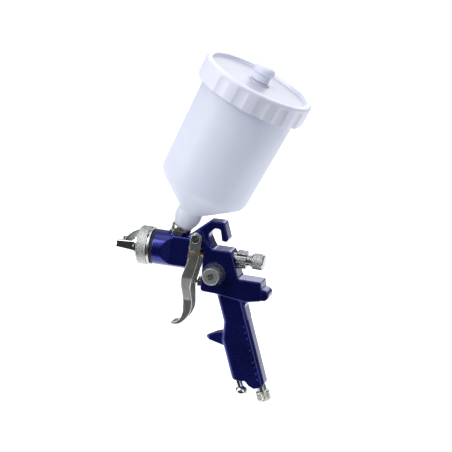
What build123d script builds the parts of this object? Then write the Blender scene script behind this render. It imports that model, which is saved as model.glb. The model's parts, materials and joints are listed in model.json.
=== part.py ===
"""Gravity-feed HVLP spray gun: one STEP file per piece.

Millimetres. The gun is drawn about its spray axis: +X is the spray direction, +Z is up and +Y is
the side of the pattern knob. While drawing, X = 0 is at the trigger's pull bar. Every piece is
moved on export so that the row's origin is on the spray axis at the mouth of the fluid nozzle.
"""
from build123d import *
from math import cos, degrees, radians, sin
import os

# ---------------------------------------------------------------- clearances
RUN = 0.06          # radial clearance of a shaft that turns or slides in its bore
GAP = 0.4           # free space between pieces that move past each other

# ---------------------------------------------------------------- gun body
BODY_HALF = 10.5    # half the thickness of the body between the trigger's cheeks
HOOK_HALF = 7.5
GRIP_HALF = 10.0
PRONG_HALF = 6.0
HEAD_R = 16.0
HEAD_BACK = 5.2     # X of the head's rear face
HEAD_FRONT = 38.0   # X of the head's front shoulder
GLAND_SEAT = 10.5   # X of the bottom of the pocket for the needle's gland nut
GLAND_POCKET_R = 5.8
BLEND_SETBACK = 8.6  # from the head's front shoulder back to where its flat sides start
BLEND_LENGTH = 8.1
WINDOW_TOP = 6.8    # underside of the bridge between the head and the grip block
WINDOW_BACK = -9.0  # X of the grip block's front face
CAST_EDGE = 1.4     # rounding of the casting's long edges
GRIP_EDGE = 5.0     # rounding of the grip's long edges
GRIP_RAKE = 19.6    # degrees that the grip leans back from straight down
GRIP_BACK = -34.0   # fore and aft places across the grip, from its axis through X = Z = 0
GRIP_FRONT = -11.2
GRIP_LOW_FRONT = -5.3
GRIP_TOP = 30.0     # places down the grip
GRIP_STEP_TOP = 66.0
GRIP_STEP_LOW = 82.0
GRIP_FOOT = 131.4

# ---------------------------------------------------------------- head, nozzle and air cap
SPIGOT_R = 14.2     # threaded front spigot of the head
SPIGOT_FRONT = 46.4
SEAL_LENGTH = 1.9
RING_R = 17.6       # knurled retaining ring
RING_BACK = 40.2
RING_FRONT = 52.4
RING_LIP = 2.0
RING_LIP_R = 13.8
KNURL_BACK = 43.2
CAP_FLANGE_R = 15.2
CAP_FLANGE = 2.4
CAP_MOUTH_R = 2.9
CAP_LENGTH = 14.2   # dome height ahead of the retaining ring's front face
HORN_REACH = 20.4   # horn tips ahead of the retaining ring's front face
HORN_OFFSET = 10.6  # horn centre line from the spray axis
HORN_WIDTH = 8.6
HORN_TAPER = 1.2    # how much narrower each side of a horn is at its tip
HORN_TURN = -3.0     # degrees that the cap's horns sit away from level
NOZZLE_R = 8.4
NOZZLE_SHANK_R = 6.0
NOZZLE_TIP_R = 2.2
NOZZLE_TIP = 67.4   # X of the fluid nozzle's mouth
NOZZLE_HOLE_R = 0.7
BAFFLE_T = 1.6

# ---------------------------------------------------------------- needle and its packing
NEEDLE_R = 1.25
NEEDLE_TAIL_R = 2.0
COLLAR_R = 3.2
COLLAR_LENGTH = 5.0
PACKING_R = 3.2
PACKING_LENGTH = 3.0
PACKING_NUT_AF = 9.0
PACKING_NUT_LENGTH = 3.6

# ---------------------------------------------------------------- fluid control at the rear
GUIDE_R = 5.0
GUIDE_FRONT = -25.0
GUIDE_BACK = -50.5
GUIDE_BORE_R = 3.5
LOCKNUT_FRONT = -38.6
LOCKNUT_LENGTH = 9.2
LOCKNUT_R = 8.3
LOCKNUT_LOBES = 6
FLUID_KNOB_R = 7.3
FLUID_KNOB_FRONT = -51.2
FLUID_KNOB_LENGTH = 12.6
NEEDLE_SPRING_R = 2.9
SPRING_WIRE = 0.55

# ---------------------------------------------------------------- trigger
PIVOT_X, PIVOT_Z = -2.0, 15.7
PIVOT_R = 3.0
CHEEK_TOP_R = 5.3
CHEEK_T = 2.0
BAR_R = 3.3
BAR_HEAD_R = 3.9
BAR_HEAD = 1.3
TRIGGER_FOOT_HALF = 8.0     # half-width of the finger part
FORK_BOTTOM = -17.5         # below this the two cheeks are joined by the front web
WEB_T = 2.4
WEB_FRONT_X = 8.5             # X of the web's outer face at the air valve's height
WEB_SLOPE = 0.1               # how much further forward the web is for each mm higher up

# ---------------------------------------------------------------- air valve
VALVE_Z = -26.6
VALVE_STEM_R = 1.6
GLAND_AF = 9.0
GLAND_LENGTH = 4.6
GLAND_THREAD_R = 3.6
GLAND_THREAD = 8.0
VALVE_SEAT_X = -21.0
POPPET_R = 3.6
POPPET_LENGTH = 3.2
VALVE_BORE_R = 4.6
VALVE_BORE_BACK = -40.0

# ---------------------------------------------------------------- pattern control on the left side
PATTERN_X, PATTERN_Z = -21.5, -13.7
PATTERN_KNOB_R = 10.4
PATTERN_KNOB_END_R = 8.0
PATTERN_KNOB_H = 14.0
PATTERN_TEETH = 38
PATTERN_TOOTH_R = 0.6
PATTERN_BUSH_R = 6.0
PATTERN_BUSH = 8.0
PATTERN_SPINDLE_R = 2.4
PATTERN_SCREW_R = 2.7

# ---------------------------------------------------------------- cup, lid and inlet fitting
CUP_FOOT_X = 24.2   # X where the cup's axis meets the spray axis
CUP_TILT = 22.85    # degrees that the cup leans back
BOSS_R = 8.8
BOSS_TOP = 16.0     # heights below are along the cup's axis, from the spray axis
HEX_AF = 15.0
HEX_HEIGHT = 5.6
LOCK_RING_R = 9.2
LOCK_RING_HEIGHT = 3.0
NIPPLE_R = 6.4
NIPPLE_BORE_R = 4.0
NIPPLE_REACH = 9.5  # spigot height inside the cup's neck
NECK_LOW_R = 8.5
NECK_BULGE_R = 12.1
NECK_TOP_R = 11.3
NECK_HEIGHT = 16.5
CUP_WALL = 1.6
CONE_HEIGHT = 24.5
CUP_LOW_R = 42.3
CUP_TOP_R = 44.8
CUP_HEIGHT = 104.0  # straight wall, from the shoulder to the rim
SHOULDER_R = 6.0
LID_R = 51.3
LID_SKIRT = 20.0
LID_WALL = 3.0
LID_TOP_T = 2.2
LID_RECESS = 3.0
LID_RIM = 5.2
LID_FLUTES = 16
LID_FLUTE_DEPTH = 1.1
GASKET_T = 1.4
VENT_BOSS_R = 9.6
VENT_STEM_R = 8.0
VENT_CAP_R = 9.4
VENT_CAP_TOP = 16.9     # above the lid's recessed disc
VENT_HOLE_R = 2.5

# ---------------------------------------------------------------- fittings under the grip
INLET_ACROSS = -27.9    # fore and aft place across the grip
INLET_R = 6.58          # G1/4 outside thread
INLET_ROUND = 2.2
INLET_LENGTH = 10.8
INLET_NECK_R = 4.6
INLET_NECK = 4.2
INLET_BORE_R = 3.6
VOLUME_ACROSS = -9.0
VOLUME_RISE = 10.6      # the front of the grip's foot is this much higher than the back
VOLUME_BALL_R = 5.7
VOLUME_NECK_R = 3.3
VOLUME_NECK = 7.6
VOLUME_GLAND_R = 2.8
VOLUME_GLAND = 9.0
VOLUME_SPINDLE_R = 1.8

TO_X = Rot(0, 90, 0)        # turns a lathe part's axis from +Z to +X
TO_Y = Rot(-90, 0, 0)       # and from +Z to +Y
CUP_FRAME = Pos(CUP_FOOT_X, 0, 0) * Rot(0, -CUP_TILT, 0)
GRIP_FRAME = Rot(0, 180 + GRIP_RAKE, 0) * Rot(0, 0, 180)
VOLUME_FRAME = GRIP_FRAME * Pos(VOLUME_ACROSS, 0, GRIP_FOOT - VOLUME_RISE)
INLET_FRAME = GRIP_FRAME * Pos(INLET_ACROSS, 0, GRIP_FOOT)
PATTERN_FRAME = Pos(PATTERN_X, 0, PATTERN_Z) * TO_Y
VALVE_FRAME = Pos(0, 0, VALVE_Z) * TO_X
CHEEK_INNER = BODY_HALF + GAP
CHEEK_OUTER = CHEEK_INNER + CHEEK_T
TO_ORIGIN = Pos(-NOZZLE_TIP, 0, 0)


# ---------------------------------------------------------------- drawing helpers
def lathe(*points):
    """A solid turned about Z from a closed (radius, height) outline."""
    return revolve(Plane.XZ * make_face(Polyline(*points, close=True)), Axis.Z)


def rod(radius, low, high, bore=0.0):
    """A cylinder about Z between two heights, with an optional bore right through."""
    solid = Pos(0, 0, (low + high) / 2) * Cylinder(radius, high - low)
    if bore:
        solid -= Pos(0, 0, (low + high) / 2) * Cylinder(bore, high - low + 2)
    return solid


def hexagon(across_flats, low, high):
    """A hexagonal prism about Z."""
    sketch = RegularPolygon(across_flats / 2, 6, major_radius=False)
    return Pos(0, 0, low) * extrude(sketch, high - low)


def plate(outline, half):
    """A plate in the gun's side plane, its outline given as (x, z, corner radius)."""
    path = FilletPolyline(*[(x, z) for x, z, _ in outline], radius=[r for _, _, r in outline], close=True)
    return extrude(Plane.XZ * make_face(path), amount=half, both=True)


def soften(solid, half, radius, shortest=4.0):
    """Rounds the long side edges of a plate."""
    edges = [e for e in solid.edges() if abs(abs(e.center().Y) - half) < 0.01 and e.length > shortest]
    return fillet(edges, radius)


def fluted(solid, cutter_radius, pitch_radius, count, low, high):
    """Cuts evenly spaced round flutes along Z."""
    cutter = rod(cutter_radius, low, high)
    for i in range(count):
        solid -= Rot(0, 0, 360 * (i + 0.5) / count) * Pos(pitch_radius, 0, 0) * cutter
    return solid


def coil(radius, wire, low, high, turns):
    """A compression spring, drawn as separate closed turns touching a thin guide wire."""
    pitch = (high - low - 2 * wire) / (turns - 1)
    rings = [Pos(0, 0, low + wire + i * pitch) * Torus(radius, wire) for i in range(turns)]
    guide = Pos(radius, 0, 0) * rod(wire * 0.6, low + wire, high - wire)
    solid = guide
    for ring in rings:
        solid += ring
    return solid


# ---------------------------------------------------------------- gun body
def head():
    """The round head, cut to flat sides behind a slanting blend, with its threaded spigot."""
    solid = TO_X * (rod(HEAD_R, HEAD_BACK, HEAD_FRONT) + rod(SPIGOT_R, HEAD_FRONT - 1, SPIGOT_FRONT))
    blend_front = HEAD_FRONT - BLEND_SETBACK
    blend_back = blend_front - BLEND_LENGTH
    for side in (1, -1):
        cutter = Polyline(
            (HEAD_BACK - 1, side * BODY_HALF),
            (blend_back, side * BODY_HALF),
            (blend_front, side * HEAD_R),
            (blend_front, side * (HEAD_R + 2)),
            (HEAD_BACK - 1, side * (HEAD_R + 2)),
            close=True,
        )
        solid -= Pos(0, 0, -HEAD_R - 1) * extrude(make_face(cutter), 2 * HEAD_R + 2)
    return solid


def grip_block():
    """The block behind the window, the bridge over it, the rear shelf and the tail."""
    block = plate([
        (HEAD_BACK + 16, WINDOW_TOP, 0.5),
        (HEAD_BACK + 16, 14.6, 0.5),
        (-10.5, 14.6, 2.0),
        (-16.8, 7.6, 1.5),
        (-34.0, 7.6, 1.6),
        (-36.4, 3.2, 1.0),
        (-43.2, -16.2, 2.0),
        (-64.0, -16.2, 1.4),
        (-65.4, -23.5, 1.0),
        (-66.0, -33.6, 2.0),
        (-52.0, -36.6, 2.0),
        (-23.0, -33.0, 2.0),
        (WINDOW_BACK, -32.6, 3.0),
        (WINDOW_BACK, WINDOW_TOP, 2.5),
    ], BODY_HALF)
    block = soften(block, BODY_HALF, CAST_EDGE)
    tail = Pos(-66.6, 0, -28.4) * TO_Y * rod(5.4, -BODY_HALF + 1.2, BODY_HALF - 1.2)
    tail = fillet(tail.edges().filter_by(GeomType.CIRCLE), 2.0)
    pivot_boss = Pos(PIVOT_X, 0, PIVOT_Z) * TO_Y * rod(CHEEK_TOP_R + 0.9, -BODY_HALF, BODY_HALF)
    return block + tail + pivot_boss


def hook():
    """The hanging hook above the grip block."""
    solid = plate([
        (12.0, 9.0, 0.5),
        (12.0, 14.9, 0.5),
        (8.2, 15.2, 2.0),
        (-12.0, 32.4, 1.6),
        (-25.2, 32.6, 2.2),
        (-30.4, 17.6, 2.0),
        (-29.0, 14.9, 1.6),
        (-24.4, 15.2, 1.2),
        (-22.2, 25.8, 2.6),
        (-16.9, 25.8, 2.2),
        (-12.2, 20.4, 1.4),
        (-12.2, 17.6, 2.0),
        (-18.6, 6.6, 0.5),
        (-4.0, 6.9, 0.5),
    ], HOOK_HALF)
    return soften(solid, HOOK_HALF, CAST_EDGE)


def grip_section(front, at):
    """The handle's rounded section, `at` mm down the grip, from its back to `front`."""
    depth = front - GRIP_BACK
    section = RectangleRounded(depth, 2 * GRIP_HALF, GRIP_EDGE)
    return GRIP_FRAME * Pos((front + GRIP_BACK) / 2, 0, at) * section


def grip_back_x(z):
    """X of the handle's back face at a height."""
    return (GRIP_BACK + z * sin(radians(GRIP_RAKE))) / cos(radians(GRIP_RAKE))


def grip():
    """The handle, deeper below the finger prong than above it, with its two bottom bosses."""
    upper = extrude(grip_section(GRIP_FRONT, GRIP_TOP), GRIP_STEP_TOP - GRIP_TOP)
    step = loft([grip_section(GRIP_FRONT, GRIP_STEP_TOP), grip_section(GRIP_LOW_FRONT, GRIP_STEP_LOW)])
    lower = extrude(grip_section(GRIP_LOW_FRONT, GRIP_STEP_LOW), GRIP_FOOT - GRIP_STEP_LOW + 2)
    foot = plate([
        (10.0, 0.0, 0),
        (10.0, GRIP_FOOT - 16.0, 0),
        (GRIP_LOW_FRONT, GRIP_FOOT - 15.6, 1.0),
        (-6.8, GRIP_FOOT - 12.0, 1.4),
        (-17.6, GRIP_FOOT - 8.4, 1.6),
        (-19.8, GRIP_FOOT - 3.6, 1.6),
        (-24.0, GRIP_FOOT, 2.0),
        (GRIP_BACK + 2.0, GRIP_FOOT, 3.0),
        (GRIP_BACK - 1.0, GRIP_FOOT - 4.0, 0),
        (-50.0, 0.0, 0),
    ], GRIP_HALF + 1)
    throat = plate([
        (-63.0, -33.0, 0),
        (-63.0, -35.0, 0),
        (grip_back_x(-36.6), -36.6, 5.0),
        (grip_back_x(-52.0), -52.0, 0),
        (grip_back_x(-52.0) + 8.0, -52.0, 0),
        (-40.0, -33.0, 0),
    ], GRIP_HALF - 2.5)
    return ((upper + step + lower) & (GRIP_FRAME * foot)) + throat


def prong():
    """The finger rest in front of the grip, tapering to a rounded tip."""
    side = plate([
        (-40.0, -65.6, 0),
        (-25.0, -70.4, 12.0),
        (-14.6, -75.6, 1.6),
        (-20.0, -78.2, 3.0),
        (-40.0, -82.0, 0),
    ], PRONG_HALF + 1)
    plan = Polyline(
        (-42.0, -PRONG_HALF - 1.5),
        (-36.0, -PRONG_HALF),
        (-20.0, -PRONG_HALF + 2.0),
        (-14.4, 0.0),
        (-20.0, PRONG_HALF - 2.0),
        (-36.0, PRONG_HALF),
        (-42.0, PRONG_HALF + 1.5),
        close=True,
    )
    return side & (Pos(0, 0, -90) * extrude(fillet(make_face(plan).vertices(), 0.8), 40))


def grip_ridges():
    """Short finger serrations near the back of the grip's sides."""
    ridges = []
    for i in range(10):
        along = 28.0 + 5.6 * i
        x = -43.5 - along * sin(radians(GRIP_RAKE))
        z = -33.0 - along * cos(radians(GRIP_RAKE))
        for side in (1, -1):
            cut = Rot(0, 90, 0) * Cylinder(0.8, 3.4)
            ridges.append(Pos(x, side * (GRIP_HALF + 0.25), z) * cut)
    return ridges


def gun_body():
    """The cast body with its bores."""
    solid = head() + grip_block() + hook() + grip() + prong()
    solid += CUP_FRAME * rod(BOSS_R, 6.0, BOSS_TOP)
    # the window between the head and the grip block
    solid -= Pos((HEAD_BACK + WINDOW_BACK) / 2, 0, WINDOW_TOP - 30) * Box(HEAD_BACK - WINDOW_BACK, 40, 60)
    # the head's front: nozzle seat, paint chamber and air gallery
    solid -= TO_X * rod(NOZZLE_SHANK_R, HEAD_FRONT - 7, SPIGOT_FRONT + 1)
    solid -= TO_X * rod(4.0, CUP_FOOT_X - 5, HEAD_FRONT - 6)
    gallery_wall = NOZZLE_R + 0.6
    solid -= TO_X * rod(SPIGOT_R - 2.0, HEAD_FRONT, SPIGOT_FRONT + 1, bore=gallery_wall)
    solid -= TO_X * rod(GLAND_POCKET_R, HEAD_BACK - 1, GLAND_SEAT)
    solid -= TO_X * rod(PACKING_R, GLAND_SEAT - 1, GLAND_SEAT + PACKING_LENGTH + 2)
    solid -= TO_X * rod(NEEDLE_R + 0.3, GLAND_SEAT, CUP_FOOT_X)
    solid -= CUP_FRAME * rod(NIPPLE_BORE_R, 0, BOSS_TOP + 1)
    solid -= CUP_FRAME * rod(NIPPLE_R, BOSS_TOP - 7.0, BOSS_TOP + 1)
    solid -= CUP_FRAME * rod(BOSS_R + 0.2, BOSS_TOP, BOSS_TOP + 16.0)
    # the needle's run through the grip block, the fluid control's thread and its spot face
    solid -= TO_X * rod(LOCKNUT_R + 0.5, LOCKNUT_FRONT - 12.0, LOCKNUT_FRONT + 0.5)
    solid -= TO_X * rod(COLLAR_R + GAP, GUIDE_FRONT, WINDOW_BACK + 1)
    solid -= TO_X * rod(GUIDE_R, -50, GUIDE_FRONT)
    # the air valve's bore
    solid -= VALVE_FRAME * rod(GLAND_THREAD_R, WINDOW_BACK - GLAND_THREAD, WINDOW_BACK + 1)
    solid -= VALVE_FRAME * rod(VALVE_STEM_R + 0.6, VALVE_SEAT_X - 1, WINDOW_BACK)
    solid -= VALVE_FRAME * rod(VALVE_BORE_R, VALVE_BORE_BACK, VALVE_SEAT_X)
    # the pattern control's bore and the passage up to the head
    solid -= PATTERN_FRAME * rod(PATTERN_BUSH_R, BODY_HALF - PATTERN_BUSH, BODY_HALF + 1)
    solid -= PATTERN_FRAME * rod(3.2, -4.0, BODY_HALF)
    solid -= Pos(-14.0, -7.6, 10.6) * TO_X * rod(1.6, -2.0, 50.8)
    # the trigger's pivot
    solid -= Pos(PIVOT_X, 0, PIVOT_Z) * TO_Y * rod(PIVOT_R, -BODY_HALF - 1, BODY_HALF + 1)
    # the grip's two bottom bores and the air passage up to the valve
    solid -= VOLUME_FRAME * rod(VOLUME_GLAND_R, -VOLUME_GLAND, 1)
    solid -= VOLUME_FRAME * rod(VOLUME_NECK_R + 0.6, 0, 6)
    solid -= VOLUME_FRAME * rod(VOLUME_SPINDLE_R + 1.2, -26, -VOLUME_GLAND + 1)
    solid -= INLET_FRAME * rod(INLET_NECK_R, -8, 6)
    solid -= INLET_FRAME * rod(INLET_BORE_R, -100, -7)
    for cut in grip_ridges():
        solid -= cut
    return solid


# ---------------------------------------------------------------- head pieces
def head_seal():
    """Rubber ring between the head's shoulder and the retaining ring."""
    return TO_X * rod(HEAD_R - 0.2, HEAD_FRONT, HEAD_FRONT + SEAL_LENGTH, bore=SPIGOT_R)


def fluid_nozzle():
    """Nozzle with a screwed shank, a seat flange and a tapered tip."""
    back = HEAD_FRONT - 7
    flange = SPIGOT_FRONT
    bore_r = 3.0
    return TO_X * lathe(
        (bore_r, back),
        (NOZZLE_SHANK_R, back),
        (NOZZLE_SHANK_R, flange),
        (NOZZLE_R, flange),
        (NOZZLE_R, flange + 4.0),
        (5.6, flange + 6.0),
        (NOZZLE_TIP_R + 0.5, NOZZLE_TIP - 4.6),
        (NOZZLE_TIP_R, NOZZLE_TIP - 3.4),
        (NOZZLE_TIP_R, NOZZLE_TIP),
        (NOZZLE_HOLE_R, NOZZLE_TIP),
        (NOZZLE_HOLE_R, NOZZLE_TIP - 1.0),
        (bore_r, NOZZLE_TIP - 12.0),
    )


def air_baffle():
    """Perforated ring that spreads the air evenly behind the cap."""
    plate_low = SPIGOT_FRONT - BAFFLE_T
    ring = rod(SPIGOT_R - 2.0, plate_low, SPIGOT_FRONT, bore=NOZZLE_R + 0.6)
    hole = Pos((SPIGOT_R + NOZZLE_R) / 2 - 0.7, 0, 0) * rod(0.9, plate_low - 1, SPIGOT_FRONT + 1)
    for i in range(12):
        ring -= Rot(0, 0, 30 * i) * hole
    return TO_X * ring


def cap_outline(shrink=0.0):
    """Dome radii of the air cap ahead of the retaining ring's front face."""
    return [
        (RING_LIP_R - GAP - shrink, RING_FRONT - RING_LIP),
        (RING_LIP_R - GAP - shrink, RING_FRONT + 2.6),
        (12.3 - shrink, RING_FRONT + 5.2),
        (10.4 - shrink, RING_FRONT + 8.6),
        (7.6 - shrink, RING_FRONT + 11.8 - shrink * 0.3),
        (5.4 - shrink * 0.6, RING_FRONT + CAP_LENGTH - 0.5 - shrink * 0.8),
        (4.6 - shrink * 0.6, RING_FRONT + CAP_LENGTH - shrink),
    ]


def air_horn():
    """One horn: a flat-sided bar on the dome, its inner face sloping to the spray axis."""
    tip = RING_FRONT + HORN_REACH
    base = RING_FRONT + 0.8
    side = Polyline(
        (7.0, base),
        (12.9, base),
        (13.2, RING_FRONT + 3.0),
        (HORN_OFFSET + 1.7, tip - 1.0),
        (HORN_OFFSET + 1.0, tip),
        (HORN_OFFSET - 2.2, tip),
        (5.0, RING_FRONT + CAP_LENGTH - 2.0),
        close=True,
    )
    horn = extrude(Plane.XZ * make_face(side), amount=HORN_WIDTH / 2, both=True)
    wedge = Polyline(
        (-HORN_WIDTH / 2, base - 1),
        (HORN_WIDTH / 2, base - 1),
        (HORN_WIDTH / 2 - HORN_TAPER, tip + 1),
        (-HORN_WIDTH / 2 + HORN_TAPER, tip + 1),
        close=True,
    )
    return horn & (Plane.YZ * extrude(make_face(wedge), 20))


def air_cap():
    """Air cap: captive flange, dome, two horns and their air holes."""
    flange_back = RING_FRONT - RING_LIP - CAP_FLANGE - GAP
    outer = [(0, flange_back), (CAP_FLANGE_R, flange_back), (CAP_FLANGE_R, RING_FRONT - RING_LIP - GAP)]
    outer += [(RING_LIP_R - GAP, RING_FRONT - RING_LIP - GAP)]
    outer += cap_outline()[1:] + [(0, RING_FRONT + CAP_LENGTH)]
    solid = lathe(*outer)
    for turn in (0, 180):
        solid += Rot(0, 0, turn) * air_horn()
    wall = 1.8
    inner = [(0, flange_back - 1), (RING_LIP_R - GAP - wall, flange_back - 1)]
    inner += cap_outline(wall)[1:] + [(0, RING_FRONT + CAP_LENGTH - wall)]
    solid -= lathe(*inner)
    solid -= rod(CAP_MOUTH_R, RING_FRONT, RING_FRONT + CAP_LENGTH + 1)
    for turn in (0, 180):
        gallery = Pos(HORN_OFFSET - 0.9, 0, 0) * rod(1.1, RING_FRONT + 2, RING_FRONT + HORN_REACH - 2.4)
        jet = Pos(HORN_OFFSET - 0.9, 0, RING_FRONT + HORN_REACH - 2.8) * Rot(0, -55, 0) * rod(0.7, 0, 6)
        solid -= Rot(0, 0, turn) * (gallery + jet)
    for i in range(8):
        solid -= Rot(0, 0, 22.5 + 45 * i) * Pos(4.1, 0, 0) * rod(0.4, RING_FRONT + 8, RING_FRONT + 16)
    return TO_X * Rot(0, 0, 90 - HORN_TURN) * solid


def retaining_ring():
    """Knurled ring that holds the air cap on the head's spigot."""
    lip_back = RING_FRONT - RING_LIP
    solid = lathe(
        (SPIGOT_R + RUN, RING_BACK),
        (RING_R - 0.7, RING_BACK),
        (RING_R - 0.3, RING_BACK + 0.4),
        (RING_R - 0.3, KNURL_BACK - 1.1),
        (RING_R - 1.0, KNURL_BACK - 0.9),
        (RING_R - 1.0, KNURL_BACK - 0.2),
        (RING_R, KNURL_BACK),
        (RING_R, RING_FRONT - 0.9),
        (RING_R - 0.9, RING_FRONT),
        (RING_LIP_R, RING_FRONT),
        (RING_LIP_R, lip_back),
        (CAP_FLANGE_R + GAP, lip_back),
        (CAP_FLANGE_R + GAP, SPIGOT_FRONT),
        (SPIGOT_R + RUN, SPIGOT_FRONT - 1.0),
    )
    slot = Pos(RING_R, 0, KNURL_BACK - 0.55) * Box(2.0, 4.0, 0.9)
    for i in range(6):
        solid -= Rot(0, 0, 60 * i + 15) * slot
    return TO_X * solid


# ---------------------------------------------------------------- needle
def fluid_needle():
    """Tapered needle, thin through the nozzle and thicker behind the collar."""
    step = -COLLAR_LENGTH - BAR_R - GAP
    return TO_X * lathe(
        (0, NOZZLE_TIP - 0.6),
        (NOZZLE_HOLE_R - 0.1, NOZZLE_TIP - 1.2),
        (NEEDLE_R, NOZZLE_TIP - 11.0),
        (NEEDLE_R, step),
        (NEEDLE_TAIL_R, step),
        (NEEDLE_TAIL_R, GUIDE_BACK + 9.0),
        (0, GUIDE_BACK + 9.0),
    )


def needle_collar():
    """Brass collar that the pull bar pushes back."""
    front = -BAR_R - GAP
    return TO_X * rod(COLLAR_R, front - COLLAR_LENGTH, front, bore=NEEDLE_R)


def needle_packing():
    """Soft packing round the needle at the back of the head."""
    return TO_X * rod(PACKING_R, GLAND_SEAT + 2, GLAND_SEAT + 2 + PACKING_LENGTH, bore=NEEDLE_R + RUN)


def packing_nut():
    """Hexagon gland nut that presses the needle packing."""
    front = GLAND_SEAT + 2
    solid = hexagon(PACKING_NUT_AF, GLAND_SEAT - PACKING_NUT_LENGTH, GLAND_SEAT)
    solid += rod(PACKING_R, GLAND_SEAT - 1, front)
    return TO_X * (solid - rod(NEEDLE_R + RUN, GLAND_SEAT - 10, front + 1))


def needle_spring():
    """Spring that closes the needle, between its tail collar and the fluid knob."""
    return TO_X * coil(NEEDLE_SPRING_R, SPRING_WIRE, GUIDE_BACK + 0.4, GUIDE_FRONT - 4.0, 9)


def spring_button():
    """Washer fixed on the needle, which the needle spring pushes."""
    return TO_X * rod(GUIDE_BORE_R - RUN, GUIDE_FRONT - 4.0, GUIDE_FRONT - 2.2, bore=NEEDLE_TAIL_R)


# ---------------------------------------------------------------- fluid control
def fluid_guide():
    """Threaded sleeve screwed into the back of the body."""
    return TO_X * rod(GUIDE_R, GUIDE_BACK, GUIDE_FRONT, bore=GUIDE_BORE_R)


def fluid_lock_nut():
    """Lobed lock nut on the sleeve."""
    back = LOCKNUT_FRONT - LOCKNUT_LENGTH
    solid = lathe(
        (GUIDE_R + RUN, back),
        (LOCKNUT_R - 1.2, back),
        (LOCKNUT_R, back + 1.2),
        (LOCKNUT_R, LOCKNUT_FRONT - 1.0),
        (LOCKNUT_R - 1.0, LOCKNUT_FRONT),
        (GUIDE_R + RUN, LOCKNUT_FRONT),
    )
    return TO_X * fluted(solid, 2.3, LOCKNUT_R + 0.7, LOCKNUT_LOBES, back - 1, LOCKNUT_FRONT + 1)


def fluid_knob():
    """Knurled fluid-adjusting knob with a plain neck."""
    back = FLUID_KNOB_FRONT - FLUID_KNOB_LENGTH
    solid = lathe(
        (0, back),
        (FLUID_KNOB_R - 1.6, back),
        (FLUID_KNOB_R, back + 1.6),
        (FLUID_KNOB_R, FLUID_KNOB_FRONT - 2.6),
        (FLUID_KNOB_R - 1.2, FLUID_KNOB_FRONT - 1.4),
        (GUIDE_R + 0.2, FLUID_KNOB_FRONT - 1.4),
        (GUIDE_R + 0.2, FLUID_KNOB_FRONT),
        (0, FLUID_KNOB_FRONT),
    )
    shank = rod(NEEDLE_TAIL_R, FLUID_KNOB_FRONT, GUIDE_BACK + 5.0)
    return TO_X * (solid + shank)


# ---------------------------------------------------------------- trigger
def trigger_side():
    """The trigger's side outline, cheek and finger part in one."""
    front = Spline(
        (4.0, -4.0), (6.0, -12.0), (8.6, -21.0), (9.0, -29.5), (7.4, -39.0),
        (6.3, -50.0), (7.3, -59.4), (11.0, -64.5), (16.2, -66.2),
        tangents=[(0.1, -1), (1, -0.05)],
    )
    back = Spline(
        (16.2, -68.0), (9.2, -67.2), (2.2, -60.6), (-1.5, -51.0), (-0.9, -41.0),
        (0.3, -32.0), (-0.9, -24.0), (-3.2, -13.0), (-6.0, -1.0),
        tangents=[(-1, -0.15), (-0.2, 1)],
    )
    tip = ThreePointArc((16.2, -66.2), (17.1, -67.1), (16.2, -68.0))
    cheek = [
        Line((-6.0, -1.0), (PIVOT_X - CHEEK_TOP_R, PIVOT_Z)),
        ThreePointArc(
            (PIVOT_X - CHEEK_TOP_R, PIVOT_Z),
            (PIVOT_X, PIVOT_Z + CHEEK_TOP_R),
            (PIVOT_X + CHEEK_TOP_R, PIVOT_Z),
        ),
        Line((PIVOT_X + CHEEK_TOP_R, PIVOT_Z), (4.0, -4.0)),
    ]
    return make_face(Curve() + [front, tip, back] + cheek)


def trigger_front(outer_half, foot_half):
    """The trigger's outline seen from the front, wide at the cheeks and narrow at the foot."""
    shape = Polyline(
        (-outer_half, PIVOT_Z + 10),
        (outer_half, PIVOT_Z + 10),
        (outer_half, FORK_BOTTOM - 4),
        (foot_half, FORK_BOTTOM - 26),
        (foot_half - 1.0, -72.0),
        (-foot_half + 1.0, -72.0),
        (-foot_half, FORK_BOTTOM - 26),
        (-outer_half, FORK_BOTTOM - 4),
        close=True,
    )
    return Plane.YZ * make_face(shape)


def trigger():
    """Forked trigger: two cheeks round the body, joined by a web below the head."""
    outer = extrude(Plane.XZ * trigger_side(), amount=CHEEK_OUTER, both=True)
    outer &= extrude(trigger_front(CHEEK_OUTER, TRIGGER_FOOT_HALF), amount=40, both=True)
    channel = extrude(Plane.XZ * trigger_side(), amount=CHEEK_OUTER, both=True)
    inner_half = CHEEK_INNER
    hollow = extrude(trigger_front(inner_half, TRIGGER_FOOT_HALF - CHEEK_T), amount=40, both=True)
    hollow &= Pos(-WEB_T, 0, 0) * (channel + Pos(-4, 0, 0) * channel + Pos(-8, 0, 0) * channel)
    hollow &= Pos(0, 0, -22) * Box(80, 60, 76)
    fork = Pos(0, 0, FORK_BOTTOM + 30) * Box(60, 2 * CHEEK_INNER, 60)
    solid = outer - hollow - fork
    bore = rod(PIVOT_R + RUN, -20, 20)
    solid -= Pos(PIVOT_X, 0, PIVOT_Z) * TO_Y * bore
    solid -= TO_Y * rod(BAR_R - 0.6 + RUN, -20, 20)
    return solid


def pull_bar():
    """Cross bar between the cheeks, with a cross hole that the needle runs through."""
    neck = BAR_R - 0.6
    solid = rod(neck, -CHEEK_OUTER - GAP, CHEEK_OUTER + GAP)
    solid += rod(BAR_R, -CHEEK_INNER + GAP, CHEEK_INNER - GAP)
    for side in (1, -1):
        low, high = sorted((side * (CHEEK_OUTER + GAP), side * (CHEEK_OUTER + GAP + BAR_HEAD)))
        solid += rod(BAR_HEAD_R, low, high)
    solid = TO_Y * solid
    return solid - TO_X * rod(NEEDLE_R + 0.5, -8, 8)


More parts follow.
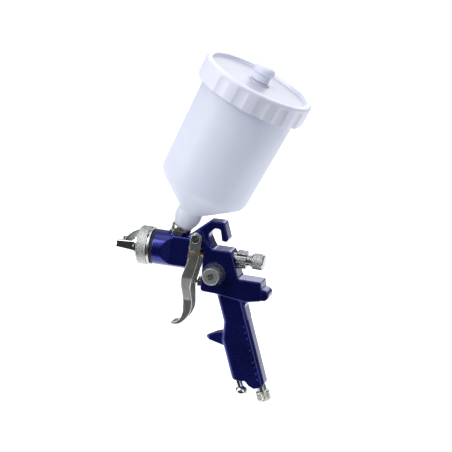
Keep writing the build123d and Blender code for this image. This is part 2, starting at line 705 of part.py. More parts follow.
def pivot_stud():
    """Stud that the trigger swings on, with a broad head on the far side."""
    solid = rod(PIVOT_R, -CHEEK_OUTER - GAP, CHEEK_OUTER + GAP)
    solid += rod(PIVOT_R + 1.4, -CHEEK_OUTER - GAP - 1.6, -CHEEK_OUTER - GAP)
    solid -= rod(1.6, CHEEK_OUTER - 9, CHEEK_OUTER + 2)
    return Pos(PIVOT_X, 0, PIVOT_Z) * TO_Y * solid


def pivot_screw():
    """Slotted screw that closes the stud's near end."""
    seat = CHEEK_OUTER + GAP
    solid = rod(PIVOT_R + 1.2, seat, seat + 1.7)
    solid = fillet(solid.edges().sort_by(Axis.Z)[-1], 0.6)
    solid += rod(1.6, CHEEK_OUTER - 9, seat)
    solid -= Pos(0, 0, seat + 1.7) * Rot(0, 0, 35) * Box(12, 0.9, 1.6)
    return Pos(PIVOT_X, 0, PIVOT_Z) * TO_Y * solid


# ---------------------------------------------------------------- air valve
def trigger_web_x(z):
    """X of the web's inner face on the trigger, near the air valve."""
    return WEB_FRONT_X - WEB_T + (z - VALVE_Z) * WEB_SLOPE


def air_valve_gland():
    """Hexagon gland screwed into the body's front, guiding the valve stem."""
    solid = hexagon(GLAND_AF, WINDOW_BACK, WINDOW_BACK + GLAND_LENGTH)
    solid += rod(GLAND_THREAD_R, WINDOW_BACK - GLAND_THREAD, WINDOW_BACK)
    return VALVE_FRAME * (solid - rod(VALVE_STEM_R + RUN, -30, 10))


def air_valve_stem():
    """Stem pushed back by the trigger's web, carrying the poppet."""
    end = trigger_web_x(VALVE_Z) - GAP
    solid = rod(VALVE_STEM_R, VALVE_SEAT_X - POPPET_LENGTH - 2.0, end - 1.0)
    solid += rod(VALVE_STEM_R - 0.5, end - 1.0, end)
    return VALVE_FRAME * solid


def air_valve_poppet():
    """Poppet that closes on the seat in the body."""
    low = VALVE_SEAT_X - POPPET_LENGTH
    return VALVE_FRAME * rod(POPPET_R, low, VALVE_SEAT_X - GAP, bore=VALVE_STEM_R)


def air_valve_spring():
    """Spring behind the poppet."""
    return VALVE_FRAME * coil(2.6, SPRING_WIRE, VALVE_BORE_BACK + 0.1, VALVE_SEAT_X - POPPET_LENGTH, 8)


# ---------------------------------------------------------------- pattern control
def pattern_bushing():
    """Bushing screwed into the body's left side."""
    solid = rod(PATTERN_BUSH_R, BODY_HALF - PATTERN_BUSH, BODY_HALF)
    solid += hexagon(PATTERN_BUSH_R * 1.7, BODY_HALF, BODY_HALF + 1.2)
    return PATTERN_FRAME * (solid - rod(PATTERN_SPINDLE_R + RUN, 0, 20))


def pattern_spindle():
    """Spindle that meters the air to the horns."""
    knob_low = BODY_HALF + 1.6
    low = BODY_HALF - PATTERN_BUSH - 2.0
    solid = rod(PATTERN_SPINDLE_R, low, knob_low + PATTERN_KNOB_H - 3.0)
    solid += lathe((0, low - 3.4), (1.0, low - 3.4), (PATTERN_SPINDLE_R, low), (0, low))
    return PATTERN_FRAME * solid


def pattern_knob():
    """Tapered knob with coarse teeth and a recessed screw in its end."""
    low = BODY_HALF + 1.6
    high = low + PATTERN_KNOB_H
    solid = lathe(
        (0, low),
        (PATTERN_KNOB_R - 0.8, low),
        (PATTERN_KNOB_R, low + 0.8),
        (PATTERN_KNOB_R, low + 3.0),
        (PATTERN_KNOB_END_R, high - 1.0),
        (PATTERN_KNOB_END_R - 1.0, high),
        (0, high),
    )
    lean = -(PATTERN_KNOB_R - PATTERN_KNOB_END_R) / (PATTERN_KNOB_H - 4.0)
    tooth = rod(PATTERN_TOOTH_R, -6, PATTERN_KNOB_H)
    tooth = Pos(PATTERN_KNOB_R, 0, low + 3) * Rot(0, degrees(lean), 0) * tooth
    for i in range(PATTERN_TEETH):
        solid -= Rot(0, 0, 360 * i / PATTERN_TEETH) * tooth
    solid -= rod(PATTERN_SCREW_R + 0.3, high - 0.9, high + 1)
    solid -= rod(PATTERN_SPINDLE_R, low - 1, high - 3.0)
    solid -= rod(1.3, high - 4, high)
    return PATTERN_FRAME * solid


def pattern_knob_screw():
    """Screw that holds the pattern knob on its spindle."""
    high = BODY_HALF + 1.6 + PATTERN_KNOB_H
    solid = rod(PATTERN_SCREW_R, high - 0.9, high + 0.5)
    solid += rod(1.3, high - 3.0, high - 0.9)
    solid -= Pos(0, 0, high + 0.5) * Rot(0, 0, 20) * Box(8, 0.8, 1.1)
    return PATTERN_FRAME * solid


# ---------------------------------------------------------------- inlet fitting and cup
def inlet_fitting():
    """Steel fitting between the body's boss and the cup's neck."""
    hex_top = BOSS_TOP + HEX_HEIGHT
    spigot_top = hex_top + LOCK_RING_HEIGHT + NIPPLE_REACH
    solid = hexagon(HEX_AF, BOSS_TOP, hex_top)
    solid += rod(NIPPLE_R, BOSS_TOP - 7.0, spigot_top)
    return CUP_FRAME * (solid - rod(NIPPLE_BORE_R, 0, spigot_top + 1))


def lock_ring():
    """Thin ring nut that locks the cup on the fitting."""
    low = BOSS_TOP + HEX_HEIGHT
    solid = rod(LOCK_RING_R, low, low + LOCK_RING_HEIGHT, bore=NIPPLE_R)
    return CUP_FRAME * fillet(solid.edges().filter_by(GeomType.CIRCLE).sort_by(Axis.Z)[-1], 0.5)


def cup_heights():
    """Heights of the neck's foot, the neck's top, the shoulder and the rim."""
    foot = BOSS_TOP + HEX_HEIGHT + LOCK_RING_HEIGHT + GAP
    neck = foot + NECK_HEIGHT
    shoulder = neck + CONE_HEIGHT
    return foot, neck, shoulder, shoulder + CUP_HEIGHT


def cup():
    """Translucent cup: bulged neck, steep cone and slightly tapered wall."""
    foot, neck, shoulder, rim = cup_heights()
    bore = NIPPLE_R + RUN
    seat = foot + NIPPLE_REACH + 0.6
    outer = [
        (NECK_LOW_R, foot),
        (NECK_LOW_R + 0.8, foot + NECK_HEIGHT * 0.12),
        (NECK_BULGE_R - 0.9, foot + NECK_HEIGHT * 0.38),
        (NECK_BULGE_R, foot + NECK_HEIGHT * 0.64),
        (NECK_BULGE_R - 0.1, foot + NECK_HEIGHT * 0.84),
        (NECK_TOP_R, neck),
    ]
    walls = [Spline(*outer)]
    walls.append(Line((NECK_TOP_R, neck), (CUP_LOW_R - 2.6, shoulder - 2.4)))
    walls.append(Spline(
        (CUP_LOW_R - 2.6, shoulder - 2.4),
        (CUP_LOW_R - 0.6, shoulder + 0.8),
        (CUP_LOW_R, shoulder + SHOULDER_R),
    ))
    inner_top = CUP_TOP_R - CUP_WALL
    walls.append(Polyline(
        (CUP_LOW_R, shoulder + SHOULDER_R),
        (CUP_TOP_R, rim),
        (inner_top, rim),
        (CUP_LOW_R - CUP_WALL, shoulder + SHOULDER_R),
        (CUP_LOW_R - CUP_WALL - 1.6, shoulder - 0.4),
        (NIPPLE_R + 2.4, neck + 0.8),
        (NIPPLE_R + 1.6, seat),
        (bore, seat),
        (bore, foot),
        (NECK_LOW_R, foot),
    ))
    return CUP_FRAME * revolve(Plane.XZ * make_face(Curve() + walls), Axis.Z)


def paint_strainer():
    """Mesh thimble that sits on the fitting's mouth inside the cup."""
    low = BOSS_TOP + HEX_HEIGHT + LOCK_RING_HEIGHT + GAP + NIPPLE_REACH + 0.6
    outer = NIPPLE_R + 1.2
    solid = rod(outer, low, low + 1.0, bore=NIPPLE_BORE_R - 0.6)
    basket = rod(NIPPLE_BORE_R + 0.8, low + 0.5, low + 13.0)
    basket -= rod(NIPPLE_BORE_R, low - 1, low + 12.2)
    for level in range(4):
        for i in range(8):
            slot = Pos(NIPPLE_BORE_R, 0, low + 3.0 + 2.4 * level) * Box(4, 1.5, 1.6)
            basket -= Rot(0, 0, 45 * i + 22.5 * (level % 2)) * slot
    solid += basket
    return CUP_FRAME * solid


def lid_levels():
    """Heights of the lid's underside seat, its recessed disc and its rim."""
    rim = cup_heights()[3]
    under = rim + GASKET_T
    disc_top = under + LID_TOP_T
    return under, disc_top, disc_top + LID_RECESS


def lid_gasket():
    """Sealing ring under the lid."""
    rim = cup_heights()[3]
    return CUP_FRAME * rod(CUP_TOP_R - 0.1, rim + 0.1, rim + GASKET_T, bore=CUP_TOP_R - 4.0)


def lid():
    """Screw lid with a fluted skirt, a recessed disc and a vent boss."""
    under, disc_top, top = lid_levels()
    skirt_low = top - LID_SKIRT
    inside = LID_R - LID_WALL - LID_FLUTE_DEPTH - 1.4
    recess = LID_R - LID_RIM
    solid = lathe(
        (0, under),
        (inside, under),
        (inside, skirt_low),
        (LID_R - 1.0, skirt_low),
        (LID_R, skirt_low + 1.2),
        (LID_R, top - 1.6),
        (LID_R - 0.6, top - 0.5),
        (LID_R - 1.8, top),
        (recess + 1.0, top),
        (recess, top - 0.8),
        (recess, disc_top),
        (0, disc_top),
    )
    solid = fluted(solid, 9.0, LID_R + 9.0 - LID_FLUTE_DEPTH, LID_FLUTES, skirt_low - 1, top - 3.0)
    solid += rod(VENT_BOSS_R, disc_top, disc_top + 1.8)
    solid += rod(VENT_STEM_R - 1.6, disc_top, disc_top + 7.0)
    solid -= rod(VENT_HOLE_R, under - 1, disc_top + 8.0)
    return CUP_FRAME * solid


def vent_cap():
    """Push-on anti-drip cap over the vent."""
    disc_top = lid_levels()[1]
    low = disc_top + 1.8 + GAP
    high = disc_top + VENT_CAP_TOP
    collar = low + (high - low) * 0.46
    solid = lathe(
        (0, low),
        (VENT_STEM_R, low),
        (VENT_STEM_R - 0.2, collar - 0.8),
        (VENT_CAP_R, collar),
        (VENT_CAP_R, high - 3.2),
        (VENT_CAP_R - 1.2, high - 1.4),
        (VENT_CAP_R - 3.6, high - 0.4),
        (0, high),
    )
    return CUP_FRAME * (solid - rod(VENT_STEM_R - 1.6 + RUN, low - 1, disc_top + 7.0 + GAP))


# ---------------------------------------------------------------- fittings under the grip
def air_inlet():
    """Air inlet nipple with an outside pipe thread, drawn at its major diameter."""
    solid = rod(INLET_R, INLET_NECK, INLET_NECK + INLET_LENGTH)
    solid = fillet(solid.edges().filter_by(GeomType.CIRCLE), INLET_ROUND)
    solid += rod(INLET_NECK_R, -8, INLET_NECK + 1)
    return INLET_FRAME * (solid - rod(INLET_BORE_R, -9, INLET_NECK + INLET_LENGTH + 1))


def volume_gland():
    """Gland that guides the air-volume spindle."""
    return VOLUME_FRAME * rod(VOLUME_GLAND_R, -VOLUME_GLAND, -0.2, bore=VOLUME_SPINDLE_R + RUN)


def volume_spindle():
    """Tapered spindle of the air-volume valve."""
    solid = rod(VOLUME_SPINDLE_R, -18, VOLUME_NECK)
    solid += lathe((0, -22.0), (0.8, -22.0), (VOLUME_SPINDLE_R, -18.0), (0, -18.0))
    return VOLUME_FRAME * solid


def volume_knob():
    """Ball knob on the air-volume spindle."""
    centre = VOLUME_NECK + VOLUME_BALL_R - 0.8
    solid = Pos(0, 0, centre) * Sphere(VOLUME_BALL_R)
    solid += rod(VOLUME_NECK_R, GAP, centre)
    return VOLUME_FRAME * (solid - rod(VOLUME_SPINDLE_R, -1, VOLUME_NECK))


PIECES = [
    gun_body, head_seal, fluid_nozzle, air_baffle, air_cap, retaining_ring,
    fluid_needle, needle_collar, needle_packing, packing_nut, needle_spring, spring_button,
    fluid_guide, fluid_lock_nut, fluid_knob,
    trigger, pull_bar, pivot_stud, pivot_screw,
    air_valve_gland, air_valve_stem, air_valve_poppet, air_valve_spring,
    pattern_bushing, pattern_spindle, pattern_knob, pattern_knob_screw,
    inlet_fitting, lock_ring, cup, paint_strainer, lid_gasket, lid, vent_cap,
    air_inlet, volume_gland, volume_spindle, volume_knob,
]

os.makedirs("parts", exist_ok=True)
for piece in PIECES:
    export_step(TO_ORIGIN * piece(), f"parts/{piece.__name__}.step")
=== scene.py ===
"""Looks of the gravity-feed spray gun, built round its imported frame.

Sizes are in millimetres and are turned into metres when a mesh is made. They are measured from
the datum on the spray axis at the trigger's pull bar, as the gun's own drawing is.
"""
import json
from math import atan2, cos, floor, pi, radians, sin, sqrt

import bmesh
import bpy
from mathutils import Matrix, Vector


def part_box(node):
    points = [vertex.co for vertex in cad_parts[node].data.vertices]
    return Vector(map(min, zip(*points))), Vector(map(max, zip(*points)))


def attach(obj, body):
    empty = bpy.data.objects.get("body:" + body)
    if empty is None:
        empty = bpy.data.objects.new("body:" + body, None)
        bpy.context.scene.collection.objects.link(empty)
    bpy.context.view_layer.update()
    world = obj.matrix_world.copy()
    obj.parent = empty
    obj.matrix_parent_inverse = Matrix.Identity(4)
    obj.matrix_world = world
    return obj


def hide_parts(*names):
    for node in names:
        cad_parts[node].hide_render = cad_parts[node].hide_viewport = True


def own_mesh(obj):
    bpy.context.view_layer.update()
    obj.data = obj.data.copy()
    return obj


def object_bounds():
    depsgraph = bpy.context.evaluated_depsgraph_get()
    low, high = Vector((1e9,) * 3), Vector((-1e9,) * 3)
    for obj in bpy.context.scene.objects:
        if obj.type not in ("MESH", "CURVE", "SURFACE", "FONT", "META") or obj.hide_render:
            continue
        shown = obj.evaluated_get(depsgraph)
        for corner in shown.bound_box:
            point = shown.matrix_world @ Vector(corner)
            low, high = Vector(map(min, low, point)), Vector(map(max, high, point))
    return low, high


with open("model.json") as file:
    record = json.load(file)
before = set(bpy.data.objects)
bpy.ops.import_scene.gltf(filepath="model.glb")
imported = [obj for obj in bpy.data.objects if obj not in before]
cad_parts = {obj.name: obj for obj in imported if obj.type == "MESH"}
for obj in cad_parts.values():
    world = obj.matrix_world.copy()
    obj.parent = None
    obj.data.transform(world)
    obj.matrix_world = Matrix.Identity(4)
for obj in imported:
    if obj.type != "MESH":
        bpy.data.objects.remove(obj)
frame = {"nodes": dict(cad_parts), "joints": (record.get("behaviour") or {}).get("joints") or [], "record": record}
cad_low, cad_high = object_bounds()

MM = 0.001
NODES = frame["nodes"]
JOINTS = {joint["name"]: joint for joint in frame["joints"]}


# ---------------------------------------------------------------- places, all read from the frame
def centre(node):
    low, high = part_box(node)
    return (low + high) / 2


def upright(origin, axis):
    """A place whose Z is a joint's axis and whose Y is the gun's Y, or X where Z takes Y."""
    z = Vector(axis).normalized()
    y = Vector((0, 1, 0)) if abs(z.y) < 0.9 else Vector((1, 0, 0))
    x = y.cross(z).normalized()
    y = z.cross(x)
    rows = [(x[i], y[i], z[i], origin[i]) for i in range(3)]
    return Matrix(rows + [(0, 0, 0, 1)])


DATUM = centre("pull_bar")
SPRAY = upright(DATUM, (1, 0, 0))
CUP_AXIS = Vector(JOINTS["cup_turn"]["axis"])
cup_point = Vector(JOINTS["cup_turn"]["pos_m"])
CUP = upright(cup_point - CUP_AXIS * (cup_point.z / CUP_AXIS.z), CUP_AXIS)
PATTERN = upright(JOINTS["pattern_turn"]["pos_m"], (0, 1, 0))
PATTERN.translation.y = 0
GRIP_AXIS = Vector(JOINTS["volume_turn"]["axis"])

# ---------------------------------------------------------------- camera
CAMERA_TURN = 13.9      # degrees past square-on, towards the gun's muzzle
CAMERA_RISE = 13.2
CAMERA_ROLL = 5.09
CAMERA_DISTANCE = 1500.0
CAMERA_LENS = 132.6
AIM_RIGHT = 26.8        # aim point from the datum, in the camera's own right and up
AIM_UP = 23.7


def make_camera():
    turn, rise, roll = radians(CAMERA_TURN), radians(CAMERA_RISE), radians(CAMERA_ROLL)
    right = Vector((-cos(turn), -sin(turn), 0))
    back = Vector((-sin(turn) * cos(rise), cos(turn) * cos(rise), sin(rise)))
    up = back.cross(right)
    rolled_right = right * cos(roll) + up * sin(roll)
    rolled_up = up * cos(roll) - right * sin(roll)
    place = DATUM + (rolled_right * AIM_RIGHT + rolled_up * AIM_UP + back * CAMERA_DISTANCE) * MM
    camera = bpy.data.objects.new("camera", bpy.data.cameras.new("camera"))
    camera.data.lens = CAMERA_LENS
    rows = [(rolled_right[i], rolled_up[i], back[i], place[i]) for i in range(3)]
    camera.matrix_world = Matrix(rows + [(0, 0, 0, 1)])
    bpy.context.scene.collection.objects.link(camera)
    bpy.context.scene.camera = camera
    return camera


# ---------------------------------------------------------------- materials
class Look:
    """A node material built round one Principled shader."""

    def __init__(self, name, color, metallic=0.0, roughness=0.4):
        self.material = bpy.data.materials.new(name)
        self.material.use_nodes = True
        self.nodes = self.material.node_tree.nodes
        self.links = self.material.node_tree.links
        self.shader = self.nodes["Principled BSDF"]
        self.set("Base Color", (*color, 1))
        self.set("Metallic", metallic)
        self.set("Roughness", roughness)
        self.coordinates = self.nodes.new("ShaderNodeTexCoord").outputs["Object"]

    def set(self, socket, value):
        self.shader.inputs[socket].default_value = value

    def noise(self, size_mm, detail=3.0, stretch=(1, 1, 1)):
        """Noise whose features are about size_mm across."""
        mapping = self.nodes.new("ShaderNodeMapping")
        mapping.inputs["Scale"].default_value = [s / (size_mm * MM) for s in stretch]
        texture = self.nodes.new("ShaderNodeTexNoise")
        texture.inputs["Scale"].default_value = 1.0
        texture.inputs["Detail"].default_value = detail
        self.links.new(self.coordinates, mapping.inputs["Vector"])
        self.links.new(mapping.outputs["Vector"], texture.inputs["Vector"])
        return texture.outputs["Fac"]

    def ramp(self, value, stops):
        """A colour ramp given as (position, colour or grey)."""
        node = self.nodes.new("ShaderNodeValToRGB")
        ramp = node.color_ramp
        while len(ramp.elements) < len(stops):
            ramp.elements.new(0.5)
        for element, (position, color) in zip(ramp.elements, stops):
            element.position = position
            element.color = (*color, 1) if isinstance(color, tuple) else (color, color, color, 1)
        self.links.new(value, node.inputs["Fac"])
        return node.outputs["Color"]

    def drive(self, socket, value):
        self.links.new(value, self.shader.inputs[socket])

    def bump(self, value, depth_mm, strength=1.0):
        node = self.nodes.new("ShaderNodeBump")
        node.inputs["Strength"].default_value = strength
        node.inputs["Distance"].default_value = depth_mm * MM
        self.links.new(value, node.inputs["Height"])
        self.links.new(node.outputs["Normal"], self.shader.inputs["Normal"])


def blue_paint():
    look = Look("blue_paint", (0.007, 0.010, 0.14), metallic=0.75, roughness=0.3)
    shade = look.noise(26.0, 2.0)
    look.drive("Base Color", look.ramp(shade, [(0.3, (0.006, 0.008, 0.11)), (0.7, (0.008, 0.013, 0.17))]))
    look.drive("Roughness", look.ramp(look.noise(2.4, 4.0), [(0.3, 0.24), (0.7, 0.32)]))
    look.set("Coat Weight", 0.3)
    look.set("Coat Roughness", 0.06)
    look.bump(look.noise(2.2, 2.0), 0.014, 0.4)
    return look.material


def chrome():
    look = Look("chrome", (0.62, 0.62, 0.61), metallic=1.0, roughness=0.1)
    shade = look.noise(14.0, 2.0)
    look.drive("Base Color", look.ramp(shade, [(0.3, (0.54, 0.54, 0.53)), (0.7, (0.64, 0.64, 0.63))]))
    look.drive("Roughness", look.ramp(look.noise(5.0, 4.0), [(0.3, 0.08), (0.75, 0.15)]))
    return look.material


def steel(name, color, rough=(0.2, 0.36), grain=(1, 1, 1)):
    look = Look(name, color, metallic=1.0, roughness=rough[0])
    dark = tuple(0.72 * c for c in color)
    look.drive("Base Color", look.ramp(look.noise(2.0, 5.0, grain), [(0.25, dark), (0.7, color)]))
    look.drive("Roughness", look.ramp(look.noise(1.1, 5.0, grain), [(0.3, rough[0]), (0.7, rough[1])]))
    look.bump(look.noise(0.45, 3.0, grain), 0.015, 0.5)
    return look.material


def rubber():
    look = Look("black_rubber", (0.012, 0.012, 0.013), roughness=0.6)
    look.drive("Roughness", look.ramp(look.noise(1.0, 3.0), [(0.3, 0.5), (0.7, 0.75)]))
    look.bump(look.noise(0.3, 3.0), 0.02)
    return look.material


def milky(name, color, see_through, rough=(0.3, 0.42)):
    """Polypropylene that scatters light and lets some of it through."""
    look = Look(name, color, roughness=rough[0])
    pale = tuple(min(1.0, 1.04 * c) for c in color)
    look.drive("Base Color", look.ramp(look.noise(34.0, 2.0), [(0.3, color), (0.7, pale)]))
    look.drive("Roughness", look.ramp(look.noise(1.2, 4.0), [(0.3, rough[0]), (0.7, rough[1])]))
    look.bump(look.noise(0.8, 3.0), 0.012, 0.5)
    glow = look.nodes.new("ShaderNodeBsdfTranslucent")
    glow.inputs["Color"].default_value = (*color, 1)
    mix = look.nodes.new("ShaderNodeMixShader")
    mix.inputs["Fac"].default_value = see_through
    look.links.new(look.shader.outputs["BSDF"], mix.inputs[1])
    look.links.new(glow.outputs["BSDF"], mix.inputs[2])
    look.links.new(mix.outputs["Shader"], look.nodes["Material Output"].inputs["Surface"])
    return look.material


LOOKS = {
    "blue_paint": blue_paint(),
    "chrome": chrome(),
    "satin_steel": steel("satin_steel", (0.50, 0.50, 0.47)),
    "nickel_knurl": steel("nickel_knurl", (0.47, 0.48, 0.48), rough=(0.22, 0.36)),
    "brass": steel("brass", (0.58, 0.40, 0.17), rough=(0.22, 0.38)),
    "black_rubber": rubber(),
    "cup_plastic": milky("cup_plastic", (0.90, 0.92, 0.99), 0.5),
    "lid_plastic": milky("lid_plastic", (0.83, 0.85, 0.96), 0.22),
    "ptfe": milky("ptfe", (0.80, 0.80, 0.77), 0.1),
}
BAR_LOOK = steel("bar_steel", (0.56, 0.47, 0.38), rough=(0.28, 0.42))
# Partly painted light: the pattern knob's end face gets this lighter, rougher copy of the nickel. The roughness is
# the metal's own, and the lighter colour is painted light on the face that looks outward.
KNOB_LIT_FACE_LOOK = steel("knob_nickel_painted_light", (0.60, 0.62, 0.62), rough=(0.36, 0.48))
TRIGGER_LOOK = steel("trigger_chrome", (0.62, 0.63, 0.62), rough=(0.28, 0.36))
# Painted shade: a darker, greyer copy of the lid plastic for the recessed disc inside the lid's rim, where the
# recess lies in shade.
RECESS_SHADE_LOOK = milky("lid_recess_shade", (0.62, 0.64, 0.74), 0.2)


def dress(piece, look):
    piece.data.materials.clear()
    piece.data.materials.append(look)


# ---------------------------------------------------------------- mesh helpers
def object_from(name, mesh, slot, body, *nodes, sharp=38.0):
    """Links a mesh as a piece: its look, its body and the nodes that it stands for."""
    mesh.shade_smooth()
    mesh.set_sharp_from_angle(angle=radians(sharp))
    piece = bpy.data.objects.new(name, mesh)
    bpy.context.scene.collection.objects.link(piece)
    dress(piece, LOOKS[slot])
    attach(piece, body)
    if nodes:
        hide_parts(*nodes)
    return piece


def rounded(outline, steps=4):
    """An outline of (radius, height, rounding) with each rounded corner turned into an arc."""
    points = []
    count = len(outline)
    for i, (r, h, size) in enumerate(outline):
        corner = Vector((r, h))
        if size == 0:
            points.append(corner)
            continue
        before = Vector(outline[i - 1][:2]) - corner
        after = Vector(outline[(i + 1) % count][:2]) - corner
        reach = min(size, before.length * 0.48, after.length * 0.48)
        start = corner + before.normalized() * reach
        end = corner + after.normalized() * reach
        for k in range(steps + 1):
            t = k / steps
            points.append(start * (1 - t) ** 2 + corner * 2 * t * (1 - t) + end * t ** 2)
    return points


def refined(points, step):
    """The same closed outline with no side longer than step."""
    fine = []
    for i, point in enumerate(points):
        following = points[(i + 1) % len(points)]
        pieces = max(1, int((following - point).length / step + 0.999))
        fine += [point.lerp(following, k / pieces) for k in range(pieces)]
    return fine


def turned_mesh(name, outline, place, segments=96, relief=None, step=None):
    """A closed solid turned about the place's Z. relief(angle, radius, height) gives the radius."""
    points = rounded(outline)
    if step:
        points = refined(points, step)
    mesh = bpy.data.meshes.new(name)
    work = bmesh.new()
    rows = []
    for point in points:
        row = []
        for k in range(segments):
            angle = 2 * pi * k / segments
            r = relief(angle, point.x, point.y) if relief and point.x > 0.01 else point.x
            row.append(work.verts.new((r * cos(angle) * MM, r * sin(angle) * MM, point.y * MM)))
        rows.append(row)
    for i, row in enumerate(rows):
        following = rows[(i + 1) % len(rows)]
        if points[i].x < 0.01 and points[(i + 1) % len(rows)].x < 0.01:
            continue
        for k in range(segments):
            m = (k + 1) % segments
            work.faces.new((row[k], row[m], following[m], following[k]))
    bmesh.ops.remove_doubles(work, verts=work.verts, dist=1e-6)
    bmesh.ops.dissolve_degenerate(work, edges=work.edges, dist=1e-7)
    bmesh.ops.recalc_face_normals(work, faces=work.faces)
    work.transform(place)
    work.to_mesh(mesh)
    work.free()
    return mesh


def triangle_wave(x):
    """0 at whole numbers, 1 half-way between them."""
    return 1 - abs(2 * (x - floor(x)) - 1)


def diamond_knurl(count, depth, low, high, outer, pitch):
    """Relief of crossed helical grooves between two heights on the outer wall."""
    def relief(angle, r, h):
        if r < outer - 0.35 or not low <= h <= high:
            return r
        turn = count * angle / (2 * pi)
        rise = min(triangle_wave(turn + h / pitch), triangle_wave(turn - h / pitch))
        fade = min(1.0, (h - low) / 0.4, (high - h) / 0.4)
        return r - depth * fade * (1 - min(1.0, 1.5 * rise))
    return relief


def flutes(count, cutter, centre_radius, low, high, floor_radius):
    """Relief of round flutes cut along the axis between two heights."""
    def relief(angle, r, h):
        if r < floor_radius or not low <= h <= high:
            return r
        part = 2 * pi / count
        off = (angle + part / 2) % part - part / 2
        across = centre_radius * sin(off)
        if abs(across) >= cutter:
            return r
        return min(r, centre_radius * cos(off) - sqrt(cutter ** 2 - across ** 2))
    return relief


def helical_thread(pitch, depth, low, high, floor_radius):
    """Relief of a real screw thread, one start, between two heights."""
    def relief(angle, r, h):
        if r < floor_radius or not low <= h <= high:
            return r
        fade = min(1.0, (h - low) / pitch, (high - h) / pitch)
        return r - depth * fade * (1 - triangle_wave(h / pitch - angle / (2 * pi)))
    return relief


def both(first, second):
    return lambda angle, r, h: second(angle, first(angle, r, h), h)


def welded(node):
    """A copy of a CAD node's mesh with its corners joined and its flat faces whole."""
    mesh = NODES[node].data.copy()
    work = bmesh.new()
    work.from_mesh(mesh)
    bmesh.ops.remove_doubles(work, verts=work.verts, dist=2e-6)
    work.to_mesh(mesh)
    work.free()
    mesh.materials.clear()
    return mesh


def settled(piece):
    """The piece's mesh with its modifiers worked into it."""
    bpy.context.view_layer.update()
    graph = bpy.context.evaluated_depsgraph_get()
    mesh = bpy.data.meshes.new_from_object(piece.evaluated_get(graph))
    piece.modifiers.clear()
    piece.data = mesh
    return piece


def cast(name, node, voxel_mm, passes, keep, slot, body):
    """A cast or forged piece: the CAD shape with every edge and corner softened."""
    piece = object_from(name, welded(node), slot, body, node)
    remesh = piece.modifiers.new("voxels", "REMESH")
    remesh.mode = "VOXEL"
    remesh.voxel_size = voxel_mm * MM
    smooth = piece.modifiers.new("soften", "SMOOTH")
    smooth.factor = 0.5
    smooth.iterations = passes
    if keep < 1:
        piece.modifiers.new("thin", "DECIMATE").ratio = keep
    settled(piece)
    piece.data.shade_smooth()
    dress(piece, LOOKS[slot])
    return piece


def machined(name, node, edge_mm, slot, body):
    """A machined piece: the CAD shape with a small chamfer on each sharp edge."""
    mesh = welded(node)
    work = bmesh.new()
    work.from_mesh(mesh)
    bmesh.ops.dissolve_limit(work, angle_limit=radians(1.0), verts=work.verts, edges=work.edges)
    work.to_mesh(mesh)
    work.free()
    piece = object_from(name, mesh, slot, body, node)
    bevel = piece.modifiers.new("edges", "BEVEL")
    bevel.width = edge_mm * MM
    bevel.segments = 3
    bevel.limit_method = "ANGLE"
    bevel.angle_limit = radians(40)
    bevel.harden_normals = False
    settled(piece)
    piece.data.shade_smooth()
    piece.data.set_sharp_from_angle(angle=radians(42))
    dress(piece, LOOKS[slot])
    return piece


def spring(name, node, low, high, radius, wire, turns, place, body):
    """A helical compression spring with closed ends."""
    curve = bpy.data.curves.new(name, "CURVE")
    curve.dimensions = "3D"
    curve.bevel_depth = wire * MM
    curve.bevel_resolution = 3
    curve.use_fill_caps = True
    line = curve.splines.new("POLY")
    per_turn = 24
    total = turns * per_turn
    line.points.add(total)
    for i in range(total + 1):
        t = i / total
        closed = 1.0 / turns
        rise = min(max((t - closed) / (1 - 2 * closed), 0.0), 1.0)
        end_lift = wire * 2 * (min(t, closed) / closed - 1 + max(t - 1 + closed, 0) / closed)
        h = low + 3 * wire + end_lift + rise * (high - low - 6 * wire)
        angle = 2 * pi * turns * t
        line.points[i].co = (radius * cos(angle) * MM, radius * sin(angle) * MM, h * MM, 1)
    holder = bpy.data.objects.new(name + "_curve", curve)
    bpy.context.scene.collection.objects.link(holder)
    graph = bpy.context.evaluated_depsgraph_get()
    mesh = bpy.data.meshes.new_from_object(holder.evaluated_get(graph))
    bpy.data.objects.remove(holder)
    mesh.transform(place)
    mesh.name = name
    piece = object_from(name, mesh, "satin_steel", body, node)
    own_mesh(piece)
    return piece


# ---------------------------------------------------------------- gun body and trigger
def cast_body():
    piece = cast("cast_body", "gun_body", 0.5, 3, 0.45, "blue_paint", "gun")
    return piece


def forged_trigger():
    piece = cast("forged_trigger", "trigger", 0.32, 12, 0.6, "chrome", "trigger")
    dress(piece, TRIGGER_LOOK)
    return piece


def bar_heads():
    piece = machined("pull_bar_pin", "pull_bar", 0.35, "satin_steel", "pull_bar")
    dress(piece, BAR_LOOK)
    return piece


# ---------------------------------------------------------------- retaining ring and air cap
RING_R = 17.6
RING_BACK = 40.2
RING_FRONT = 52.4
RING_LIP = 2.0
RING_LIP_R = 13.8
KNURL_BACK = 43.2
SPIGOT_R = 14.2
SPIGOT_FRONT = 46.4
CAP_FLANGE_R = 15.2
CAP_FLANGE = 2.4
CAP_GAP = 0.4
CAP_LENGTH = 14.2
CAP_MOUTH_R = 2.9
HORN_REACH = 20.4
HORN_OFFSET = 10.6
HORN_WIDTH = 8.6
HORN_TAPER = 1.2
HORN_TURN = -3.0
RING_SLOTS = 6


